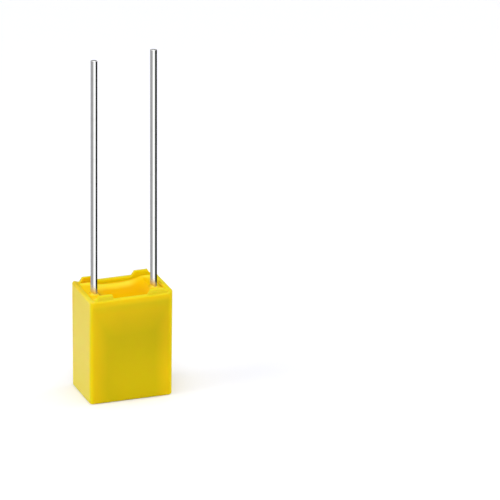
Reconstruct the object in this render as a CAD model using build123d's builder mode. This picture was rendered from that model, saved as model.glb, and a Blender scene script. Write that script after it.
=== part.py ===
# Box-type polypropylene film capacitor with two straight wire leads.
# Frame: the origin is the middle of the closed end's flat face, +Z runs along the leads, X passes through
# both leads and Y through the thickness of the box. All sizes are in millimetres.
import os
from math import sqrt

from build123d import *

# Tinned wire leads: round outside the resin, and coined flat where they are welded inside
lead_pitch = 5.08
lead_inset = 1.03  # from a lead's axis to the outer end of the box
lead_diameter = 0.55
lead_offset = -0.39  # both leads stand a little off the middle plane
left_lead_reach = 20.0  # above the stand-offs
right_lead_reach = 20.3
lead_tip_chamfer = 0.04
tail_thickness = 0.3
tail_width = 0.8
tail_corner_radius = 0.12
tail_taper = 0.8  # length over which the flat tail swells into round wire
tail_start = 1.3  # above the lower edge of the winding

# Moulded box. Its length and thickness are taken over the rim of the open end, and its walls lean out to it.
case_thickness = 4.8
rim_height = 8.96
wall_thickness = 0.5
floor_thickness = 0.6
draft_angle = 0.38
corner_radius = 0.35
cavity_corner_radius = 0.2
base_edge_radius = 0.18
rim_edge_radius = 0.2

# Four stand-offs, moulded on the long walls near their ends, which lift the rim off a circuit board
standoff_height = 0.4
standoff_length = 1.5
standoff_ramp = 0.24
standoff_inset = 0.61
standoff_setback = 0.18
standoff_root = 0.15
standoff_edge_radius = 0.08

# Potting resin: how far its surface lies below the rim. It wets the walls and has sunk in the middle as it set.
resin_end_drop = 0.1
resin_corner_drop = 0.03
resin_wall_drop = 0.3
resin_middle_drop = 1.0
dish_margin = 0.05  # the dish stops this far short of the leads
dish_power = 3
collar_width = 0.2  # the resin also climbs each lead in a small collar
collar_rise = 0.08
collar_fall = 0.25

# Flattened roll of metallised film, wound about X, with sprayed metal on both of its ends
winding_side_gap = 0.25
winding_base_gap = 0.3
winding_cover = 0.6  # resin over the winding at the middle of the dish
contact_thickness = 0.4

# Heights and faces that the pieces share
case_length = lead_pitch + 2 * lead_inset
cavity_length = case_length - 2 * wall_thickness
cavity_thickness = case_thickness - 2 * wall_thickness
seat_height = rim_height + standoff_height
resin_end_height = rim_height - resin_end_drop
resin_middle_height = rim_height - resin_middle_drop
winding_base = floor_thickness + winding_base_gap
winding_height = resin_middle_height - winding_cover - winding_base
winding_thickness = cavity_thickness - 2 * winding_side_gap
contact_face = (lead_pitch - tail_thickness) / 2
winding_half_width = contact_face - contact_thickness
sides = {"left": -1, "right": 1}


# ---- Case: a thin moulded box, open at the top, with stand-offs on its rim ----

with BuildPart() as standoff:
    outer_end = case_length / 2 - standoff_inset
    inner_end = outer_end - standoff_length
    root = rim_height - standoff_root
    with BuildSketch(Plane.XZ.offset(standoff_setback - case_thickness / 2)):
        with BuildLine():
            Polyline(
                (inner_end, root),
                (inner_end, rim_height),
                (inner_end + standoff_ramp, seat_height),
                (outer_end - standoff_ramp, seat_height),
                (outer_end, rim_height),
                (outer_end, root),
                close=True,
            )
        make_face()
    extrude(amount=wall_thickness - standoff_setback)
    raised = standoff.edges().filter_by(lambda edge: edge.center().Z > rim_height)
    fillet(raised, standoff_edge_radius)

# The space inside the walls, drafted like the outside, from the moulded floor up to the rim
with BuildPart() as cavity:
    with BuildSketch(Plane.XY.offset(rim_height)):
        RectangleRounded(cavity_length, cavity_thickness, cavity_corner_radius)
    extrude(amount=floor_thickness - rim_height, taper=draft_angle)

with BuildPart() as case:
    with BuildSketch(Plane.XY.offset(rim_height)):
        RectangleRounded(case_length, case_thickness, corner_radius)
    extrude(amount=-rim_height, taper=draft_angle)
    fillet(case.edges().group_by(Axis.Z)[0], base_edge_radius)
    fillet(case.edges().group_by(Axis.Z)[-1], rim_edge_radius)
    add(cavity.part, mode=Mode.SUBTRACT)
    add(standoff.part)
    mirror(standoff.part, about=Plane.YZ)
    mirror(standoff.part, about=Plane.XZ)
    mirror(mirror(standoff.part, about=Plane.YZ, mode=Mode.PRIVATE), about=Plane.XZ)


# ---- Winding: one flattened roll, with a sprayed metal contact on each end ----

with BuildPart() as film_winding:
    with BuildSketch(Plane.YZ.offset(-winding_half_width)):
        with Locations((0, winding_base + winding_height / 2)):
            SlotOverall(winding_height, winding_thickness, rotation=90)
    extrude(amount=2 * winding_half_width)

end_contacts = {}
for side, sign in sides.items():
    with BuildPart() as end_contact:
        with BuildSketch(Plane.YZ.offset(sign * winding_half_width)):
            with Locations((0, winding_base + winding_height / 2)):
                SlotOverall(winding_height, winding_thickness, rotation=90)
        extrude(amount=sign * contact_thickness)
    end_contacts[side] = end_contact.part


# ---- Leads: round wire that is coined flat on the contact and turns round again where it leaves the resin ----

lead_reach = {"left": left_lead_reach, "right": right_lead_reach}
tail_base = winding_base + tail_start
tail_top = resin_end_height - tail_taper
leads = {}
for side, sign in sides.items():
    lead_axis = (sign * lead_pitch / 2, lead_offset)
    with BuildPart() as lead:
        with BuildSketch(Plane.XY.offset(tail_base)):
            with Locations(lead_axis):
                RectangleRounded(tail_thickness, tail_width, tail_corner_radius)
        extrude(amount=tail_top - tail_base)
        with BuildSketch(Plane.XY.offset(tail_top)):
            with Locations(lead_axis):
                RectangleRounded(tail_thickness, tail_width, tail_corner_radius)
        with BuildSketch(Plane.XY.offset(resin_end_height)):
            with Locations(lead_axis):
                Circle(lead_diameter / 2)
        loft()
        with BuildSketch(Plane.XY.offset(resin_end_height)):
            with Locations(lead_axis):
                Circle(lead_diameter / 2)
        extrude(amount=seat_height - resin_end_height + lead_reach[side])
        chamfer(lead.edges().group_by(Axis.Z)[-1], lead_tip_chamfer)
    leads[side] = lead.part


# ---- Resin: it fills the space around the winding, and its dished surface climbs to the walls and the leads ----


# Depth of the dish at a distance from its middle, as a share of the depth in the middle
def dish_share(distance, half_length):
    return max(1 - (abs(distance) / half_length) ** dish_power, 0)


# Height, at some distance from the middle plane, of an arc that rises from low to high over the half span
def arc_height(distance, half_span, low, high):
    rise = high - low
    radius = (half_span**2 + rise**2) / (2 * rise)
    return low + radius - sqrt(radius**2 - distance**2)


dish_half_length = (lead_pitch - lead_diameter) / 2 - dish_margin
section_reach = case_thickness / 2
stations = [share * dish_half_length for share in (-1, -0.8, -0.5, 0, 0.5, 0.8, 1)]
stations = [-case_length / 2] + stations + [case_length / 2]

# The air over the resin, as a loft through arcs that are deep in the middle and nearly flat at the ends
with BuildPart() as air:
    for station in stations:
        share = dish_share(station, dish_half_length)
        low = resin_end_height - share * (resin_middle_drop - resin_end_drop)
        high = rim_height - resin_corner_drop - share * (resin_wall_drop - resin_corner_drop)
        brink = arc_height(section_reach, cavity_thickness / 2, low, high)
        with BuildSketch(Plane.YZ.offset(station)):
            with BuildLine():
                arc = ThreePointArc((-section_reach, brink), (0, low), (section_reach, brink))
                Polyline(arc @ 1, (section_reach, 2 * seat_height), (-section_reach, 2 * seat_height), arc @ 0)
            make_face()
    loft()

collars = []
for side, sign in sides.items():
    lead_x = sign * lead_pitch / 2
    crest = (lead_diameter / 2, resin_end_height + collar_rise)
    foot = (lead_diameter / 2 + collar_width, resin_end_height - collar_fall)
    with BuildPart() as collar:
        with BuildSketch(Plane(origin=(lead_x, lead_offset, 0), x_dir=(1, 0, 0), z_dir=(0, -1, 0))):
            with BuildLine():
                TangentArc(crest, foot, tangent=(0, -1))
                Polyline(foot, (0, foot[1]), (0, crest[1]), crest)
            make_face()
        revolve(axis=Axis((lead_x, lead_offset, 0), (0, 0, 1)))
    collars.append(collar.part)

with BuildPart() as potting_resin:
    add(cavity.part)
    add(air.part, mode=Mode.SUBTRACT)
    add(collars)
    add(film_winding.part, mode=Mode.SUBTRACT)
    add(list(end_contacts.values()), mode=Mode.SUBTRACT)
    add(list(leads.values()), mode=Mode.SUBTRACT)


# ---- Each finished piece goes to its own file ----

pieces = {"case": case.part, "potting_resin": potting_resin.part, "film_winding": film_winding.part}
for side in sides:
    pieces[f"{side}_end_contact"] = end_contacts[side]
    pieces[f"{side}_lead"] = leads[side]

os.makedirs("parts", exist_ok=True)
for name, piece in pieces.items():
    piece.label = name
    export_step(piece, f"parts/{name}.step")
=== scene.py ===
from math import cos, pi, radians, sin

import bpy
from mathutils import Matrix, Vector


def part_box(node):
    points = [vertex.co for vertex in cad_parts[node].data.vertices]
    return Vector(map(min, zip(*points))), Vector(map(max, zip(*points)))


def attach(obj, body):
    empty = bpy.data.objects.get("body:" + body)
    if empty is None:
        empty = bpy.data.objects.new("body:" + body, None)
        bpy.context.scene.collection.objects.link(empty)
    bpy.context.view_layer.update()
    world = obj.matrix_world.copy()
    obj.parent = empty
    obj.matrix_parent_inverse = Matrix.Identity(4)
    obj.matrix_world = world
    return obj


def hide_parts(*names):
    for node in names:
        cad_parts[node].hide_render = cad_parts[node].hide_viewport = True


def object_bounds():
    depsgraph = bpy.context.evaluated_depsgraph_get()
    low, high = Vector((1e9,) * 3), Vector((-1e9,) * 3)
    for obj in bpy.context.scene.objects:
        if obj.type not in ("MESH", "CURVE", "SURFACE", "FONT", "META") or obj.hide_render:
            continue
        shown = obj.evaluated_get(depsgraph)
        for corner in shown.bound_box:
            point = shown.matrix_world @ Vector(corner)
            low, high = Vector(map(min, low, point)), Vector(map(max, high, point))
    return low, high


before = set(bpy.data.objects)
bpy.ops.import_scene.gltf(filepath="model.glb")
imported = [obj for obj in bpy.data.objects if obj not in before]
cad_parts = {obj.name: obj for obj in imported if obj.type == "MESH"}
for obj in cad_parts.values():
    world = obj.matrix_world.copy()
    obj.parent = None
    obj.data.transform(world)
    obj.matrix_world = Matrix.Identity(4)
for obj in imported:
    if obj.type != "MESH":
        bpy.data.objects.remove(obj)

# Box film capacitor: a moulded yellow case, its potting resin and two tinned wire leads.
# Blender works in metres. The shape trees work in millimetres and scale their result at the end.
millimetre = 0.001
cadLow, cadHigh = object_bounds()
print("frame loaded:", ", ".join(sorted(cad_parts)))


# A value in a node tree. Sums, products and so on of values add Math nodes to the tree.
class Value:
    def __init__(self, graph, socket):
        self.graph = graph
        self.socket = socket

    def math(self, operation, *others):
        return self.graph.add("ShaderNodeMath", {"operation": operation}, [self, *others])

    def reflected(self, operation, other):
        return self.graph.add("ShaderNodeMath", {"operation": operation}, [other, self])

    def __add__(self, other):
        return self.math("ADD", other)

    __radd__ = __add__

    def __sub__(self, other):
        return self.math("SUBTRACT", other)

    def __rsub__(self, other):
        return self.reflected("SUBTRACT", other)

    def __mul__(self, other):
        return self.math("MULTIPLY", other)

    __rmul__ = __mul__

    def __truediv__(self, other):
        return self.math("DIVIDE", other)

    def __rtruediv__(self, other):
        return self.reflected("DIVIDE", other)

    def __pow__(self, other):
        return self.math("POWER", other)

    def __neg__(self):
        return self.math("MULTIPLY", -1.0)

    def __abs__(self):
        return self.math("ABSOLUTE")

    def floor(self):
        return self.math("FLOOR")

    def root(self):
        return self.math("SQRT")

    def tangent(self):
        return self.math("TANGENT")

    def snapped(self, pitch):
        return self.math("SNAP", pitch)

    def atLeast(self, other):
        return self.math("MAXIMUM", other)

    def atMost(self, other):
        return self.math("MINIMUM", other)

    def between(self, low, high):
        return self.atLeast(low).atMost(high)

    # 1 where it holds and 0 elsewhere
    def isBelow(self, other):
        return self.math("LESS_THAN", other)

    def isAbove(self, other):
        return self.math("GREATER_THAN", other)

    # 1 on the positive side and -1 on the other
    def side(self):
        return 2 * self.isAbove(0.0) - 1

    # A smooth step from 0 to 1 while the value goes from start to end
    def step(self, start, end):
        sockets = {"Value": self, "From Min": start, "From Max": end}
        return self.graph.add("ShaderNodeMapRange", {"interpolation_type": "SMOOTHSTEP"}, sockets)

    def out(self, name):
        outputs = [output for output in self.socket.node.outputs if output.enabled]
        return Value(self.graph, next(output for output in outputs if output.name == name))

    def parts(self):
        split = self.graph.add("ShaderNodeSeparateXYZ", {}, [self])
        return split.out("X"), split.out("Y"), split.out("Z")


class Graph:
    def __init__(self, tree):
        self.tree = tree

    # One node: its settings come first, then the values or links of its sockets, by name or in their order
    def add(self, kind, settings=None, sockets=()):
        node = self.tree.nodes.new(kind)
        for name, value in (settings or {}).items():
            if name == "stops":
                self.fillRamp(node.color_ramp, value)
            elif name == "items":
                for _ in range(value - len(node.index_switch_items)):
                    node.index_switch_items.new()
            elif name == "capture":
                node.capture_items.new("VECTOR", value)
            else:
                setattr(node, name, value)
        live = [socket for socket in node.inputs if socket.enabled]
        named = sockets.items() if isinstance(sockets, dict) else enumerate(sockets)
        for key, value in named:
            target = live[key] if isinstance(key, int) else next(each for each in live if each.name == key)
            if isinstance(value, Value):
                self.tree.links.new(value.socket, target)
            else:
                target.default_value = value
        outputs = [output for output in node.outputs if output.enabled]
        return Value(self, outputs[0] if outputs else None)

    def fillRamp(self, ramp, stops):
        while len(ramp.elements) < len(stops):
            ramp.elements.new(0.5)
        for element, (place, colour) in zip(ramp.elements, stops):
            element.position = place
            element.color = (*colour, 1)

    def vector(self, x, y, z):
        return self.add("ShaderNodeCombineXYZ", {}, [x, y, z])

    def vectorMath(self, operation, *vectors):
        return self.add("ShaderNodeVectorMath", {"operation": operation}, vectors)

    # One of several values, picked by a whole number
    def pick(self, kind, index, choices):
        sockets = {"Index": index, **{str(place): choice for place, choice in enumerate(choices)}}
        return self.add("GeometryNodeIndexSwitch", {"data_type": kind, "items": len(choices)}, sockets)

    def mixColour(self, factor, first, second, blend="MIX"):
        settings = {"data_type": "RGBA", "blend_type": blend}
        return self.add("ShaderNodeMix", settings, {"Factor": factor, "A": first, "B": second})


# Every moulded, cast or drawn piece is one skin: a section that is carried round an outline
skinRule = {
    "mergeDistance": 0.0005,
    "cornerSteps": 12,
    "closedHalfWidth": 0.001,  # a ring that is narrower has shrunk to a line
    "seamPitch": 0.04,  # of the points on that line
}


# A curve through corners, each rounded to its own radius, with its points no further apart than spacing
def sectionCurve(graph, corners, radii, spacing, roundingSteps):
    index = graph.add("GeometryNodeInputIndex")
    line = graph.add("GeometryNodeMeshLine", {}, {"Count": len(corners)})
    spot = graph.pick("VECTOR", index, [graph.vector(*corner) for corner in corners])
    line = graph.add("GeometryNodeSetPosition", {}, {"Geometry": line, "Position": spot})
    curve = graph.add("GeometryNodeMeshToCurve", {}, [line])
    radius = graph.pick("FLOAT", index, radii)
    sockets = {"Curve": curve, "Count": roundingSteps, "Radius": radius, "Limit Radius": True}
    curve = graph.add("GeometryNodeFilletCurve", {"mode": "POLY"}, sockets)
    here = graph.add("GeometryNodeInputPosition")
    sockets = {"Value": here, "Index": index + 1}
    ahead = graph.add("GeometryNodeFieldAtIndex", {"data_type": "FLOAT_VECTOR"}, sockets)
    gap = graph.vectorMath("DISTANCE", here, ahead)
    return graph.add("GeometryNodeSubdivideCurve", {}, {"Curve": curve, "Cuts": (gap / spacing).floor()})


# A section carried round an outline. The rule gets both places, and says where the skin's point goes.
def sweptSkin(graph, outline, section, rule):
    here = graph.add("GeometryNodeInputPosition")
    outline = graph.add("GeometryNodeCaptureAttribute", {"capture": "around"}, [outline, here])
    section = graph.add("GeometryNodeCaptureAttribute", {"capture": "along"}, [section, here])
    around, along = outline.out("around"), section.out("along")
    skin = graph.add("GeometryNodeCurveToMesh", {}, {"Curve": outline, "Profile Curve": section})
    skin = graph.add("GeometryNodeSetPosition", {}, {"Geometry": skin, "Position": rule(around, along)})
    sockets = {"Geometry": skin, "Distance": skinRule["mergeDistance"]}
    skin = graph.add("GeometryNodeMergeByDistance", {}, sockets)
    skin = graph.add("GeometryNodeFlipFaces", {}, {"Mesh": skin})
    skin = graph.add("GeometryNodeSetShadeSmooth", {}, {"Geometry": skin, "Shade Smooth": True})
    return graph.add("GeometryNodeTransform", {}, {"Geometry": skin, "Scale": [millimetre] * 3})


# The outline of a box with round corners, with a point at each column of the skin
def boxOutline(graph, size):
    sockets = {"Width": size["Length"], "Height": size["Thickness"]}
    outline = graph.add("GeometryNodeCurvePrimitiveQuadrilateral", {}, sockets)
    steps, radius = skinRule["cornerSteps"], size["Corner radius"]
    sockets = {"Curve": outline, "Count": steps, "Radius": radius, "Limit Radius": True}
    outline = graph.add("GeometryNodeFilletCurve", {"mode": "POLY"}, sockets)
    sockets = {"Curve": outline, "Length": size["Column spacing"]}
    return graph.add("GeometryNodeResampleCurve", {"mode": "LENGTH"}, sockets)


# Where a place on the box outline comes to lie when the outline is drawn in by inset and its corners get a
# new radius: every corner keeps its own directions, and the straight runs between them shrink
def drawnIn(graph, around, size, inset, newRadius):
    aroundX, aroundY, _ = around.parts()
    length, thickness, radius = size["Length"], size["Thickness"], size["Corner radius"]
    straightX, straightY = length / 2 - radius, thickness / 2 - radius
    alongX, alongY = aroundX.between(-straightX, straightX), aroundY.between(-straightY, straightY)
    outward = graph.vectorMath("NORMALIZE", graph.vector(aroundX - alongX, aroundY - alongY, 0.0))
    outX, outY, _ = outward.parts()
    halfX, halfY = length / 2 - inset, thickness / 2 - inset
    corner = newRadius.atMost(halfY)
    shareX, shareY = alongX / straightX, alongY / straightY
    x = shareX * (halfX - corner) + corner * outX
    y = shareY * (halfY - corner) + corner * outY
    # The last ring has shrunk to a line, on which the points of both sides have to meet
    closed = halfY.isBelow(skinRule["closedHalfWidth"])
    x = x + closed * (x.snapped(skinRule["seamPitch"]) - x)
    return x, y, shareX, shareY, outX, outY


# How far a drafted wall leans in for each millimetre down
def leanOf(size):
    return (size["Draft"] * (pi / 180)).tangent()


# A piece from its shape tree: every size is a named input, and what is left is a plain mesh
def shapedPiece(name, sizes, material, build):
    tree = bpy.data.node_groups.new(name, "GeometryNodeTree")
    tree.is_modifier = True
    values = {}
    for label, size in {**sizes, "Finish": material}.items():
        kinds = {float: "NodeSocketFloat", int: "NodeSocketInt"}
        kind = kinds.get(type(size), "NodeSocketMaterial")
        values[tree.interface.new_socket(label, in_out="INPUT", socket_type=kind).identifier] = size
    tree.interface.new_socket("Geometry", in_out="OUTPUT", socket_type="NodeSocketGeometry")
    graph = Graph(tree)
    inputs = graph.add("NodeGroupInput")
    skin = build(graph, {label: inputs.out(label) for label in sizes})
    skin = graph.add("GeometryNodeRealizeInstances", {}, [skin])
    skin = graph.add("GeometryNodeSetMaterial", {}, {"Geometry": skin, "Material": inputs.out("Finish")})
    graph.add("NodeGroupOutput", {}, [skin])
    piece = bpy.data.objects.new(name, bpy.data.meshes.new(name))
    bpy.context.scene.collection.objects.link(piece)
    modifier = piece.modifiers.new("Shape", "NODES")
    modifier.node_group = tree
    for identifier, size in values.items():
        modifier[identifier] = size
    piece.modifiers.new("Flat faces", "WEIGHTED_NORMAL")
    shaped = piece.evaluated_get(bpy.context.evaluated_depsgraph_get())
    mesh = bpy.data.meshes.new_from_object(shaped)
    piece.modifiers.clear()
    piece.data = mesh
    mesh.name = name
    print(name, "has", len(mesh.polygons), "faces")
    return piece


def emptyMaterial(name):
    material = bpy.data.materials.new(name)
    material.use_nodes = True
    material.node_tree.nodes.clear()
    return material, Graph(material.node_tree)


# A material with one surface shader, whose look gets the graph, the place on the piece and the finish.
# A pair of numbers in a finish is where something starts and where it is full.
def newMaterial(name, finish, look):
    material, graph = emptyMaterial(name)
    place = graph.add("ShaderNodeTexCoord").out("Object")
    sockets = {**finish["shader"], **look(graph, place, finish)}
    surface = graph.add("ShaderNodeBsdfPrincipled", {}, sockets)
    graph.add("ShaderNodeOutputMaterial", {}, {"Surface": surface})
    return material


def inMillimetres(place):
    return [axis / millimetre for axis in place.parts()]


# Noise between 0 and 1 whose features are about size millimetres across
def noise(graph, place, size, detail=2.0):
    sockets = {"Vector": place, "Scale": 1 / (size * millimetre), "Detail": detail}
    return graph.add("ShaderNodeTexNoise", {}, sockets)


def bump(graph, height, depth):
    return graph.add("ShaderNodeBump", {}, {"Height": height, "Distance": depth * millimetre})


caseLow, caseHigh = [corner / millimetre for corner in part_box("case")]
standoffHeight = 0.4
case = {
    "Length": caseHigh.x - caseLow.x,
    "Thickness": caseHigh.y - caseLow.y,
    "Rim height": caseHigh.z - standoffHeight,
    "Draft": 0.38,
    "Wall": 0.45,
    "Floor": 0.6,
    "Corner radius": 0.35,
    "Inner corner radius": 0.2,
    "Base edge radius": 0.18,
    "Rim edge radius": 0.2,
    "Floor edge radius": 0.15,
    "Stand-off height": standoffHeight,
    "Stand-off setback": 0.18,
    "Stand-off inset": 0.61,
    "Stand-off length": 1.5,
    "Stand-off ramp": 0.24,
    "Stand-off edge radius": 0.08,
    "Steep ramp": 0.10,  # the inner end of the front left stand-off
    "Long ramp": 0.73,  # the outer end of the front right stand-off, which runs out to the corner
    "Back reach": 0.09,  # the outer end of the back right stand-off lies a little further out
    "Corner lift": 0.25,  # the right end of the rim stands up, most at its front corner
    "Corner lift start": 2.9,
    "Corner lift end": 3.5,
    "Corner lift share": 0.55,
    "Corner lift tilt": 0.19,
    "Back lift": 0.12,  # and so does the back corner of the left end
    "Back lift start": -3.0,
    "Back lift end": -3.45,
    "Back lift inner edge": 0.5,
    "Back lift outer edge": 2.2,
    "Lift depth": 0.6,  # below the rim, where both lifts have died out
    "Wall sink": 0.01,
    "Rim margin": 0.01,  # the inner edge is rounded from this far below the rim
    "Ring spacing": 0.5,
    "Column spacing": 0.05,
    "Rounding steps": 8,
}

casePlastic = {
    "shader": {
        "Specular IOR Level": 0.06,
        "Subsurface Weight": 0.7,
        "Subsurface Scale": 0.0006,
        "Subsurface Radius": (1.0, 0.55, 0.08),
    },
    # Painted light: a painted glow from an edge of the box, where the plastic is lit through, to the middle
    # of a broad wall, and a painted sheen on the ends
    "depthStops": [
        (0.0, (0.83, 0.66, 0.094)),
        (0.02, (0.83, 0.66, 0.094)),
        (0.06, (0.76, 0.66, 0.010)),
        (0.10, (0.86, 0.66, 0.003)),
        (0.30, (0.89, 0.625, 0.002)),
        (0.80, (0.73, 0.57, 0.001)),
    ],
    "depthReach": 2.0,
    "depthUnevenness": 0.3,
    "topReach": 0.5,  # the painted glow from the rim goes deeper, so a distance from it counts for less
    "topDepth": 0.32,  # and nothing counts as closer to the rim than this
    "upperTint": (0.86, 0.89, 1.0, 1),  # painted shade: the upper half of a broad wall is painted a little deeper, as less light bounces up to it from the floor
    "upperHeights": (1.5, 6.0),
    "upperLevel": 0.7,
    "upperGain": 0.3,  # towards the right
    "upperRight": (0.5, 2.5),
    "upperLeft": (-0.6, -2.6),  # the painted shade is even there, at leftLevel
    "leftLevel": 0.4,
    "upperFromEnd": (0.1, 0.6),
    # The rim top is painted a little darker against the strong light from above, with a faint painted sheen
    "rimColour": (0.83, 0.68, 0.018, 1),
    "rimHeights": (-0.15, 0.0),
    "endRimColour": (0.865, 0.68, 0.048, 1),  # painted highlight at the front of the left end
    "endRimBackColour": (0.78, 0.575, 0.03, 1),
    "endRimPlace": (-3.05, -3.2),
    "endRimBack": (-1.4, 0.4),
    "backRimTint": (0.90, 0.91, 1.0, 1),
    "backRimPlace": (0.8, 1.6),
    "underRimColour": (1.0, 0.67, 0.002, 1),  # a warm painted glow round the long walls, just below the rim, where light comes through from it
    "underRimHeights": (-0.7, -0.2),
    "underRimFromEnd": (0.05, 0.3),
    "underRimShare": 0.8,
    "innerColour": (1.0, 0.73, 0.001, 1),  # painted light inside the walls, next to the resin, brightened against the shade of the recess
    "innerLeftColour": (1.0, 0.58, 0.0, 1),
    "innerLeft": (-1.6, -2.2),
    "innerDepths": (0.40, 0.46),
    "grainSize": 0.09,
    "grainDepth": 0.003,
    "flowSize": 2.2,
    "roughness": 0.45,
    "flowRoughness": 0.12,
    "grainRoughness": 0.1,
}


def casePlasticLook(graph, place, finish):
    x, y, z = inMillimetres(place)
    aboveRim = z - case["Rim height"]
    fromEnd = caseHigh.x - abs(x)
    fromSide = fromEnd.atMost(caseHigh.y - abs(y))
    fromRim = (-aboveRim).atLeast(finish["topDepth"]) * finish["topReach"]
    flow = noise(graph, place, finish["flowSize"])
    grain = noise(graph, place, finish["grainSize"], detail=1.0)
    # Painted glow near the edges and the rim, and painted sheen on the ends, by the distance from them
    depth = fromEnd.atMost(fromRim) / finish["depthReach"]
    depth = depth * (1 + (flow - 0.5) * finish["depthUnevenness"])
    colour = graph.add("ShaderNodeValToRGB", {"stops": finish["depthStops"]}, [depth])
    # The painted shade comes in with height, except towards the left, where it is even
    left = x.step(*finish["upperLeft"])
    level = finish["upperLevel"] + finish["upperGain"] * x.step(*finish["upperRight"])
    upperShade = z.step(*finish["upperHeights"]) * level * (1 - left)
    paintedShade = fromEnd.step(*finish["upperFromEnd"]) * (upperShade + finish["leftLevel"] * left)
    colour = graph.mixColour(paintedShade, colour, finish["upperTint"], "MULTIPLY")
    # Painted light on the rim: a highlight at the front of the left end, shade at its back and along the
    # back rim
    back = y.step(*finish["endRimBack"])
    rimEndLight = graph.mixColour(back, finish["endRimColour"], finish["endRimBackColour"])
    rimColour = graph.mixColour(x.step(*finish["endRimPlace"]), finish["rimColour"], rimEndLight)
    back = y.step(*finish["backRimPlace"])
    rimColour = graph.mixColour(back, rimColour, finish["backRimTint"], "MULTIPLY")
    # Painted glow just below the rim of the long walls
    underRimGlow = aboveRim.step(*finish["underRimHeights"]) * fromEnd.step(*finish["underRimFromEnd"])
    colour = graph.mixColour(underRimGlow * finish["underRimShare"], colour, finish["underRimColour"])
    colour = graph.mixColour(aboveRim.step(*finish["rimHeights"]), colour, rimColour)
    # Inside the walls the plastic is painted brighter against the shade of the recess, and a deeper orange
    # towards the left end
    left = x.step(*finish["innerLeft"])
    innerColour = graph.mixColour(left, finish["innerColour"], finish["innerLeftColour"])
    colour = graph.mixColour(fromSide.step(*finish["innerDepths"]), colour, innerColour)
    roughness = finish["roughness"] + (flow - 0.5) * finish["flowRoughness"]
    roughness = roughness + (grain - 0.5) * finish["grainRoughness"]
    relief = bump(graph, grain, finish["grainDepth"])
    return {"Base Color": colour, "Roughness": roughness, "Normal": relief}


# Places that the resin and the wires share: the right lead's middle and radius, which the left mirrors
leadLow, leadHigh = [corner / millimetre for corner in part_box("right_lead")]
leadPlace = (leadLow.x + leadHigh.x) / 2
leadOffset = (leadLow.y + leadHigh.y) / 2
leadRadius = (leadHigh.x - leadLow.x) / 2
resinEndDrop = 0.1  # below the rim, where the leads come out of the resin
resinEndHeight = case["Rim height"] - resinEndDrop

resinFinish = {
    "shader": {
        "Specular IOR Level": 0.04,
        "Subsurface Weight": 0.5,
        "Subsurface Scale": 0.0003,
        "Subsurface Radius": (1.0, 0.45, 0.05),
    },
    # Deeper orange lower in the dish, partly from the thicker resin and partly painted shade of the hollow
    "deepColour": (0.87, 0.475, 0.0, 1),
    "thinColour": (0.98, 0.58, 0.0, 1),
    "depths": (0.55, 1.1),  # below the stand-offs
    "bandColour": (1.0, 0.78, 0.040, 1),  # painted highlight along the steep band by a long wall
    "bandWidth": 0.75,
    "bandStart": 0.25,
    "bandUnevenness": 0.15,
    "fadePlace": 1.9,  # where the painted highlight fades
    "fadeReach": 0.8,
    "fadeShare": 0.9,
    "flank": (-0.8, -1.6),  # painted light: the slope at the left end of the dish is painted the lighter one
    "flankEnd": (-2.7, -2.2),
    "flankShare": 0.15,
    "flankSpread": 0.4,
    # painted light at both ends of the dish, against the shade by the end walls
    "leftEnd": (-2.2, -2.7),
    "leftEndShare": 0.22,
    "rightEnd": (2.4, 2.8),
    "rightEndShare": 0.6,
    # painted shade in the crease where the resin meets the walls
    "edgeColour": (1.0, 0.56, 0.0, 1),
    "edgeWidth": 0.12,
    "rimStart": 0.3,
    "bandEdge": 0.5,
    "collarColour": (1.0, 0.82, 0.09, 1),  # painted highlight where it climbs the front of each wire
    "collarWidth": 0.24,
    "collarShare": 0.8,
    "roughness": 0.16,
    "cloudSize": 0.9,
    "cloudRoughness": 0.1,
    "waveSize": 1.1,
    "waveDepth": 0.006,
}


def resinLook(graph, place, finish):
    x, y, z = inMillimetres(place)
    cloud = noise(graph, place, finish["cloudSize"])
    wave = noise(graph, place, finish["waveSize"])
    fromEnd, fromSide = caseHigh.x - case["Wall"] - abs(x), caseHigh.y - case["Wall"] - abs(y)
    # The dish is painted deeper orange further down: thicker resin and painted shade
    depth = (caseHigh.z - z).step(*finish["depths"])
    colour = graph.mixColour(depth, finish["thinColour"], finish["deepColour"])
    # Painted light on the left slope of the dish and at both ends
    flank = x.step(*finish["flank"]) * x.step(*finish["flankEnd"])
    leftEnd = x.step(*finish["leftEnd"]) * finish["leftEndShare"]
    rightEnd = x.step(*finish["rightEnd"]) * finish["rightEndShare"]
    ends = flank * finish["flankShare"] + leftEnd + rightEnd
    colour = graph.mixColour(ends, colour, finish["bandColour"])
    edge, width = finish["edgeWidth"], finish["bandWidth"]
    # A painted highlight on the steep band along each long wall
    inward = (fromSide + (cloud - 0.5) * finish["bandUnevenness"]) / (1 + flank * finish["flankSpread"])
    fade = (finish["fadeReach"] - abs(x - finish["fadePlace"])).atLeast(0) * finish["fadeShare"]
    band = fromSide.step(finish["bandEdge"] * edge, edge)
    band = band * (1 - inward.step(finish["bandStart"] * width, width)) * (1 - fade)
    colour = graph.mixColour(band, colour, finish["bandColour"])
    # Painted shade in the crease along the walls
    rim = 1 - fromEnd.atMost(fromSide).step(finish["rimStart"] * edge, edge)
    colour = graph.mixColour(rim, colour, finish["edgeColour"])
    # A painted highlight on the resin where it climbs the front of each wire
    toLead = graph.vector(abs(x) - leadPlace, y - leadOffset, 0.0)
    fromLead = graph.vectorMath("LENGTH", toLead) - leadRadius
    collar = (1 - fromLead.step(0.0, finish["collarWidth"])) * y.step(leadOffset, leadOffset - leadRadius)
    colour = graph.mixColour(collar * finish["collarShare"], colour, finish["collarColour"])
    roughness = finish["roughness"] + (cloud - 0.5) * finish["cloudRoughness"]
    relief = bump(graph, wave, finish["waveDepth"])
    return {"Base Color": colour, "Roughness": roughness, "Normal": relief}


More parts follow.
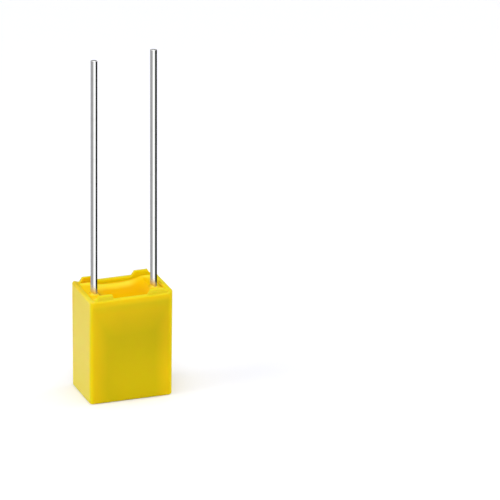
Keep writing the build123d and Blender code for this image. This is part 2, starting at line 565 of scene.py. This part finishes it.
wireFinish = {
    "shader": {"Specular IOR Level": 0.2},
    "colour": (0.92, 0.92, 0.91, 1),
    "dullColour": (0.80, 0.80, 0.79, 1),
    "blotchSize": 0.7,
    "dullBlotches": (0.45, 0.8),
    "dullShare": 0.35,
    "streakSize": 0.05,
    "streakLength": 3.0,
    "streakDepth": 0.0002,
    "stainColour": (0.82, 0.53, 0.05, 1),  # painted reflection of the yellow resin, darkened as painted shade, on the foot of the wire
    "stainHeights": (0.05, 0.95),
    "stainLeft": 0.15,  # it reaches further up on the left side, and less far on the right
    "stainRight": 0.45,
    "stainUnevenness": 0.2,
    "stainCover": 0.85,
    "roughness": 0.05,
    "streakRoughness": 0.08,
    "roughBlotches": (0.5, 0.8),
    "blotchRoughness": 0.07,
}


def wireLook(graph, place, finish):
    x, _, z = inMillimetres(place)
    drawn = graph.vectorMath("MULTIPLY", place, (1, 1, finish["streakSize"] / finish["streakLength"]))
    streak = noise(graph, drawn, finish["streakSize"])
    blotch = noise(graph, place, finish["blotchSize"], detail=3.0)
    dull = blotch.step(*finish["dullBlotches"]) * finish["dullShare"]
    colour = graph.mixColour(dull, finish["colour"], finish["dullColour"])
    # Painted reflection of the resin and painted shade on the foot of each wire, higher on its left side
    aside = (x - leadPlace * x.side()) / leadRadius
    climb = aside.atMost(0) * finish["stainLeft"] + aside.atLeast(0) * finish["stainRight"]
    height = z - resinEndHeight + climb + (blotch - 0.5) * finish["stainUnevenness"]
    footReflection = 1 - height.step(*finish["stainHeights"])
    colour = graph.mixColour(footReflection, colour, finish["stainColour"])
    roughness = finish["roughness"] + (streak - 0.5) * finish["streakRoughness"]
    roughness = roughness + blotch.step(*finish["roughBlotches"]) * finish["blotchRoughness"]
    relief = bump(graph, streak, finish["streakDepth"])
    metal = 1 - footReflection * finish["stainCover"]
    return {"Base Color": colour, "Metallic": metal, "Roughness": roughness, "Normal": relief}


filmFinish = {
    "shader": {"Metallic": 0.7},
    "colour": (0.62, 0.62, 0.60, 1),
    "gapColour": (0.40, 0.41, 0.42, 1),
    "gaps": (0.35, 0.65),
    "layer": 0.06,
    "layerStretch": 0.02,
    "layerDepth": 0.004,
    "roughness": 0.24,
    "hazeSize": 1.4,
    "hazeRoughness": 0.12,
}


# Layers of the roll, as fine lines that run the length of the winding
def filmLook(graph, place, finish):
    layers = graph.vectorMath("MULTIPLY", place, (finish["layerStretch"], 1, 1))
    turns = noise(graph, layers, finish["layer"], detail=1.0)
    haze = noise(graph, place, finish["hazeSize"])
    colour = graph.mixColour(turns.step(*finish["gaps"]), finish["gapColour"], finish["colour"])
    roughness = finish["roughness"] + haze * finish["hazeRoughness"]
    relief = bump(graph, turns, finish["layerDepth"])
    return {"Base Color": colour, "Roughness": roughness, "Normal": relief}


sprayedFinish = {
    "shader": {"Metallic": 0.9},
    "colour": (0.55, 0.55, 0.53, 1),
    "pitColour": (0.30, 0.30, 0.29, 1),
    "pits": (0.2, 0.8),
    "dropSize": 0.12,
    "dropDepth": 0.02,
    "grainSize": 0.05,
    "roughness": 0.5,
    "grainRoughness": 0.2,
}


# Sprayed metal is a crust of fine frozen drops
def sprayedLook(graph, place, finish):
    sockets = {"Vector": place, "Scale": 1 / (finish["dropSize"] * millimetre)}
    drops = graph.add("ShaderNodeTexVoronoi", {"feature": "SMOOTH_F1"}, sockets)
    rough = noise(graph, place, finish["grainSize"], detail=3.0)
    colour = graph.mixColour(drops.step(*finish["pits"]), finish["colour"], finish["pitColour"])
    roughness = finish["roughness"] + rough * finish["grainRoughness"]
    relief = bump(graph, rough - drops, finish["dropDepth"])
    return {"Base Color": colour, "Roughness": roughness, "Normal": relief}


finishes = {
    "case": newMaterial("mouldedYellowPlastic", casePlastic, casePlasticLook),
    "resin": newMaterial("yellowPottingResin", resinFinish, resinLook),
    "wire": newMaterial("tinnedWire", wireFinish, wireLook),
    "film": newMaterial("metallisedFilm", filmFinish, filmLook),
    "sprayed": newMaterial("sprayedMetal", sprayedFinish, sprayedLook),
}
print("materials ready:", len(finishes))


def buildCase(graph, size):
    length, thickness, rim, wall = size["Length"], size["Thickness"], size["Rim height"], size["Wall"]
    raised, setback = size["Stand-off height"], size["Stand-off setback"]
    edge = size["Stand-off edge radius"]
    lean = leanOf(size)
    middle = thickness / 2 - lean * rim
    innerMiddle = thickness / 2 - lean * (rim - size["Floor"])
    # Each corner is an inset, a rise on the stand-offs, a height and the radius of its rounding
    corners = [
        (middle, 0.0, 0.0, 0.0),
        (0.0, 0.0, 0.0, size["Base edge radius"]),
        (0.0, 0.0, rim, size["Rim edge radius"]),
        (setback, 0.0, rim, 0.0),
        (setback, raised, rim, edge),
        (wall, raised, rim, edge),
        (wall, 0.0, rim, 0.0),
        (wall, 0.0, size["Floor"], size["Floor edge radius"]),
        (innerMiddle, 0.0, size["Floor"], 0.0),
    ]
    places, radii = [corner[:3] for corner in corners], [corner[3] for corner in corners]
    section = sectionCurve(graph, places, radii, size["Ring spacing"], size["Rounding steps"])

    def place(around, along):
        inset, rise, height = along.parts()
        corner = (size["Corner radius"] - inset).atLeast(size["Inner corner radius"])
        drawn = inset + lean * (rim - height)
        x, y, shareX, shareY, outX, outY = drawnIn(graph, around, size, drawn, corner)
        # The walls have sunk a little in their middles
        up = height / rim
        bow = 4 * up * (1 - up) * (2 - shareX * shareX - shareY * shareY)
        sunk = size["Wall sink"] * bow * (1 - inset / wall).between(0, 1)
        x, y = x - outX * sunk, y - outY * sunk
        # The four stand-offs, with a ramp at both ends of each
        front, right = y.isBelow(0.0), x.isAbove(0.0)
        ramp = size["Stand-off ramp"]
        outerEnd = length / 2 - size["Stand-off inset"]
        innerEnd = outerEnd - size["Stand-off length"]
        innerRamp = ramp + (size["Steep ramp"] - ramp) * front * (1 - right)
        outerRamp = ramp + (size["Long ramp"] - ramp) * front * right
        reach = outerEnd + size["Back reach"] * (1 - front) * right
        share = ((abs(x) - innerEnd) / innerRamp).atMost((reach - ramp - abs(x)) / outerRamp + 1)
        share = share.between(0, 1)
        # Elsewhere the rim's inner edge is rounded in the same way
        over = ((inset - wall + edge) / edge).between(0, 1)
        drop = edge * (1 - (1 - over * over).root()) * (1 - share)
        drop = drop * (height - rim + size["Rim margin"]).isAbove(0.0)
        cornerLift = size["Corner lift"] * (size["Corner lift share"] - y * size["Corner lift tilt"])
        cornerLift = cornerLift * x.step(size["Corner lift start"], size["Corner lift end"])
        backLift = size["Back lift"] * x.step(size["Back lift start"], size["Back lift end"])
        backLift = backLift * y.step(size["Back lift inner edge"], size["Back lift outer edge"])
        lift = (cornerLift + backLift) * ((height - rim) / size["Lift depth"] + 1).between(0, 1)
        return graph.vector(x, y, height + rise * share - drop + lift)

    return sweptSkin(graph, boxOutline(graph, size), section, place)


mouldedCase = shapedPiece("moulded_case", case, finishes["case"], buildCase)

wallHold = 0.005  # the resin reaches this far into the wall, so that no gap shows
dishMargin = 0.05  # the dish stops this far short of the leads
resin = {
    "Length": case["Length"],
    "Thickness": case["Thickness"],
    "Rim height": case["Rim height"],
    "Draft": case["Draft"],
    "Wall": case["Wall"] - wallHold,
    "Brink": case["Thickness"] / 2 - case["Wall"],  # where the surface meets a long wall
    "Floor": case["Floor"],
    "Corner radius": case["Corner radius"],
    "Inner corner radius": case["Inner corner radius"],
    "Floor edge radius": case["Floor edge radius"],
    "End height": resinEndHeight,
    "Dish half length": leadPlace - leadRadius - dishMargin,
    "Dish power": 3.0,
    "Middle drop": 1.0,
    "Corner drop": 0.03,
    "Wall drop": 0.3,
    "Lead place": leadPlace,
    "Lead offset": leadOffset,
    "Lead radius": leadRadius,
    "Collar width": 0.22,
    "Collar rise": 0.08,
    "Left rise": 0.16,  # on its left side each wire draws the resin up further
    "Ring spacing": 0.035,
    "Column spacing": 0.06,
    "Rounding steps": 4,
}


def buildResin(graph, size):
    thickness, rim, wall, span = size["Thickness"], size["Rim height"], size["Wall"], size["Brink"]
    lean = leanOf(size)
    middle = thickness / 2 - lean * (rim - size["Floor"])
    # Each corner is an inset, and a share of the way up from the floor to the surface
    corners = [(middle, 0.0, 0.0), (wall, 0.0, 0.0), (wall, 1.0, 0.0), (thickness / 2, 1.0, 0.0)]
    radii = [0.0, size["Floor edge radius"], 0.0, 0.0]
    section = sectionCurve(graph, corners, radii, size["Ring spacing"], size["Rounding steps"])

    def place(around, along):
        inset, share, _ = along.parts()
        corner = (size["Corner radius"] - inset).atLeast(size["Inner corner radius"])
        drawn = inset + lean * (rim - size["Floor"]) * (1 - share)
        x, y, *_ = drawnIn(graph, around, size, drawn, corner)
        # Across the box the surface is an arc, which is deep in the middle of the box and flat at its ends
        dish = (1 - (abs(x) / size["Dish half length"]) ** size["Dish power"]).atLeast(0.0)
        low = size["End height"] - dish * (size["End height"] - rim + size["Middle drop"])
        high = rim - size["Corner drop"] - dish * (size["Wall drop"] - size["Corner drop"])
        rise = high - low
        radius = (span * span + rise * rise) / (2 * rise)
        surface = low + radius - (radius * radius - y * y).root()
        # The resin climbs each lead
        toLead = graph.vector(abs(x) - size["Lead place"], y - size["Lead offset"], 0.0)
        fromLead = graph.vectorMath("LENGTH", toLead) - size["Lead radius"]
        away = (fromLead / size["Collar width"]).between(0, 1)
        climb = 1 - (1 - (1 - away) * (1 - away)).root()
        leftward = ((size["Lead place"] * x.side() - x) / size["Lead radius"]).between(0, 1)
        crest = size["End height"] + size["Collar rise"] + size["Left rise"] * leftward
        surface = surface + (crest - surface) * climb
        return graph.vector(x, y, size["Floor"] + share * (surface - size["Floor"]))

    return sweptSkin(graph, boxOutline(graph, size), section, place)


resinFill = shapedPiece("resin_fill", resin, finishes["resin"], buildResin)

lead = {
    "Radius": leadRadius,
    "Tail half thickness": 0.15,
    "Tail half width": 0.4,
    "Tail corner radius": 0.12,
    "Tail edge radius": 0.04,
    "Taper length": 0.8,
    "Taper top": resinEndHeight,
    "Tip rounding": 0.04,
    "Cut slant": 0.14,  # the cutter has left the tip slanted, down towards the back
    "Cut zone": 0.6,
    "Cut aside": 0.4,
    "Cut back": 0.92,
    "Ring spacing": 0.4,
    "Rounding steps": 6,
    "Sides": 48,
}


def buildLead(graph, size):
    radius, tip = size["Radius"], size["Tip"]
    foot = size["Tail end"]
    corners = [(0.0, 0.0, foot), (radius, 0.0, foot), (radius, 0.0, tip), (0.0, 0.0, tip)]
    radii = [0.0, size["Tail edge radius"], size["Tip rounding"], 0.0]
    section = sectionCurve(graph, corners, radii, size["Ring spacing"], size["Rounding steps"])
    sockets = {"Resolution": size["Sides"], "Radius": 1.0}
    outline = graph.add("GeometryNodeCurvePrimitiveCircle", {}, sockets)

    def place(around, along):
        outX, outY, _ = around.parts()
        reach, _, height = along.parts()
        swell = ((height - size["Taper top"] + size["Taper length"]) / size["Taper length"]).between(0, 1)
        corner = size["Tail corner radius"] + swell * (radius - size["Tail corner radius"])
        flatX = (size["Tail half thickness"] - size["Tail corner radius"]) * (1 - swell)
        flatY = (size["Tail half width"] - size["Tail corner radius"]) * (1 - swell)
        share = reach / radius
        # Which side of each axis the point is on, and 0 for a point that lies on the axis
        sideGain = 1000
        sideX, sideY = (outX * sideGain).between(-1, 1), (outY * sideGain).between(-1, 1)
        x = share * (sideX * flatX + corner * outX)
        y = share * (sideY * flatY + corner * outY)
        nearTip = ((height - tip) / size["Cut zone"] + 1).between(0, 1)
        back = (x * size["Cut aside"] + y * size["Cut back"]) / radius
        slant = nearTip * size["Cut slant"] * (1 + back) / 2
        return graph.vector(size["Place X"] + x, size["Place Y"] + y, height - slant)

    return sweptSkin(graph, outline, section, place)


leadPieces = {}
for side in ("left", "right"):
    low, high = [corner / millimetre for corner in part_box(f"{side}_lead")]
    middle = (low + high) / 2
    ends = {"Place X": middle.x, "Place Y": middle.y, "Tail end": low.z, "Tip": high.z}
    leadPieces[side] = shapedPiece(f"{side}_wire", {**lead, **ends}, finishes["wire"], buildLead)

# What each piece rides on, stands for and is finished with
pieces = {
    "moulded_case": (mouldedCase, "case", "case_plastic"),
    "resin_fill": (resinFill, "potting_resin", "potting_resin"),
    "left_wire": (leadPieces["left"], "left_lead", "tinned_wire"),
    "right_wire": (leadPieces["right"], "right_lead", "tinned_wire"),
}
for piece, node, slot in pieces.values():
    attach(piece, "root")
    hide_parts(node)
    # The wires show the studio down to their feet, and neither the case nor each other
    piece.visible_glossy = False

hiddenFinishes = {"film_winding": "film", "left_end_contact": "sprayed", "right_end_contact": "sprayed"}
for node, finish in hiddenFinishes.items():
    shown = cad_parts[node]
    shown.data.materials.clear()
    shown.data.materials.append(finishes[finish])
print("pieces placed:", ", ".join(pieces))

stage = {
    "floorReach": 4000.0,
    "floorColour": (0.95, 0.95, 0.96, 1),
    "floorLift": 0.13,
    "floorLiftColour": (0.55, 0.6, 0.95, 1),
    "worldStrength": 0.42,
    "cardRadius": 19.0,
    "cardTop": 31.0,
    "cardColumns": 96,
    "cardGlow": 1.1,
    "cardTurn": -18.5,  # the cards are set up square to the main view
    # By turns of the compass, from 0 straight behind the object, by way of its right side, to 1
    "cardStops": [
        (0.0, (0.05, 0.05, 0.05)),
        (0.10, (0.05, 0.05, 0.05)),
        (0.11, (0.012, 0.012, 0.012)),
        (0.352, (0.012, 0.012, 0.012)),
        (0.358, (1.0, 1.0, 1.0)),
        (0.565, (1.0, 1.0, 1.0)),
        (0.575, (0.36, 0.36, 0.37)),
        (0.91, (0.33, 0.33, 0.34)),
        (0.93, (0.05, 0.05, 0.05)),
    ],
}


def stageMesh(name, points, faces, material):
    mesh = bpy.data.meshes.new(name)
    mesh.from_pydata([Vector(point) * millimetre for point in points], [], faces)
    mesh.materials.append(material)
    thing = bpy.data.objects.new(name, mesh)
    bpy.context.scene.collection.objects.link(thing)
    return thing


# 1 where the camera, a reflection or glass shows a thing, and 0 where it only lights others
def shownShare(graph):
    path = graph.add("ShaderNodeLightPath")
    rays = path.out("Is Camera Ray") + path.out("Is Glossy Ray") + path.out("Is Transmission Ray")
    return rays.atMost(1.0)


# White paper, with a faint glow that lifts the object's shadow where the floor shows
def floorMaterial():
    material, graph = emptyMaterial("floorPaper")
    paper = graph.add("ShaderNodeBsdfDiffuse", {}, {"Color": stage["floorColour"]})
    sockets = {"Color": stage["floorLiftColour"], "Strength": shownShare(graph) * stage["floorLift"]}
    lift = graph.add("ShaderNodeEmission", {}, sockets)
    both = graph.add("ShaderNodeAddShader", {}, [paper, lift])
    graph.add("ShaderNodeOutputMaterial", {}, {"Surface": both})
    return material


reach = stage["floorReach"]
floorPoints = [(-reach, -reach, 0), (reach, -reach, 0), (reach, reach, 0), (-reach, reach, 0)]
stageMesh("floor", floorPoints, [(0, 1, 2, 3)], floorMaterial())


# A ring of cards that only reflections see: white in front, grey to the left, and nearly black to the right
# and behind
def cardMaterial():
    material, graph = emptyMaterial("reflectionCards")
    x, y, _ = graph.add("ShaderNodeTexCoord").out("Object").parts()
    angle = radians(stage["cardTurn"])
    ahead, aside = y * cos(angle) - x * sin(angle), x * cos(angle) + y * sin(angle)
    turn = (-aside).math("ARCTAN2", -ahead) / (2 * pi) + 0.5
    ramp = graph.add("ShaderNodeValToRGB", {"stops": stage["cardStops"]}, {"Fac": turn})
    glow = graph.add("ShaderNodeEmission", {}, {"Color": ramp, "Strength": stage["cardGlow"]})
    graph.add("ShaderNodeOutputMaterial", {}, {"Surface": glow})
    return material


columns = stage["cardColumns"]
cardPoints = []
for height in (0.0, stage["cardTop"]):
    for column in range(columns):
        heading = 2 * pi * column / columns
        cardPoints.append((stage["cardRadius"] * sin(heading), stage["cardRadius"] * cos(heading), height))
cardFaces = []
for column in range(columns):
    following = (column + 1) % columns
    cardFaces.append((column, following, columns + following, columns + column))
cards = stageMesh("cards", cardPoints, cardFaces, cardMaterial())
cards.visible_camera = cards.visible_diffuse = cards.visible_shadow = False
cards.visible_transmission = cards.visible_volume_scatter = False

# Each lamp: the direction it shines from (degrees east of north, degrees up), its distance, its width
# and its light on the object
lamps = {
    "skyPanel": (200.0, 82.0, 420.0, 300.0, 0.40),
    "leftPanel": (270.0, 30.0, 420.0, 260.0, 0.27),
    "rightPanel": (85.0, 30.0, 420.0, 220.0, 0.18),
    "frontPanel": (200.0, 35.0, 500.0, 300.0, 0.13),
}
target = Vector((0, 0, case["Rim height"] / 2)) * millimetre
for name, (heading, height, distance, width, light) in lamps.items():
    lamp = bpy.data.lights.new(name, "AREA")
    lamp.shape = "DISK"
    lamp.size = width * millimetre
    lamp.energy = light * pi * pi * (distance * millimetre) ** 2
    holder = bpy.data.objects.new(name, lamp)
    bpy.context.scene.collection.objects.link(holder)
    heading, height = radians(heading), radians(height)
    away = Vector((sin(heading) * cos(height), cos(heading) * cos(height), sin(height)))
    holder.location = target + away * distance * millimetre
    holder.rotation_euler = away.to_track_quat("Z", "Y").to_euler()

# White where it shows, and dimmer where it lights the object
world = bpy.data.worlds.new("paleRoom")
bpy.context.scene.world = world
world.use_nodes = True
world.node_tree.nodes.clear()
graph = Graph(world.node_tree)
strength = stage["worldStrength"] + shownShare(graph) * (1 - stage["worldStrength"])
air = graph.add("ShaderNodeBackground", {}, {"Color": (1, 1, 1, 1), "Strength": strength})
graph.add("ShaderNodeOutputWorld", {}, {"Surface": air})

camera = {
    "azimuth": -18.5,
    "elevation": 22.7,
    "distance": 1000.0,
    "aimAcross": 10.318,  # from the middle of the base to the middle of the frame
    "aimUp": 11.262,
    "frameWidth": 40.388,
}
azimuth, elevation = radians(camera["azimuth"]), radians(camera["elevation"])
back = Vector((sin(azimuth) * cos(elevation), -cos(azimuth) * cos(elevation), sin(elevation)))
across = Vector((cos(azimuth), sin(azimuth), 0))
up = back.cross(across)
base = Vector(((cadLow.x + cadHigh.x) / 2, (cadLow.y + cadHigh.y) / 2, cadLow.z))
aim = base + (across * camera["aimAcross"] + up * camera["aimUp"]) * millimetre
view = bpy.data.cameras.new("camera")
view.type = "ORTHO"
view.ortho_scale = camera["frameWidth"] * millimetre
viewer = bpy.data.objects.new("camera", view)
bpy.context.scene.collection.objects.link(viewer)
viewer.location = aim + back * camera["distance"] * millimetre
viewer.rotation_euler = back.to_track_quat("Z", "Y").to_euler()
bpy.context.scene.camera = viewer
bpy.context.scene.view_settings.view_transform = "Standard"
print("stage ready: floor, cards,", len(lamps), "lamps and camera")
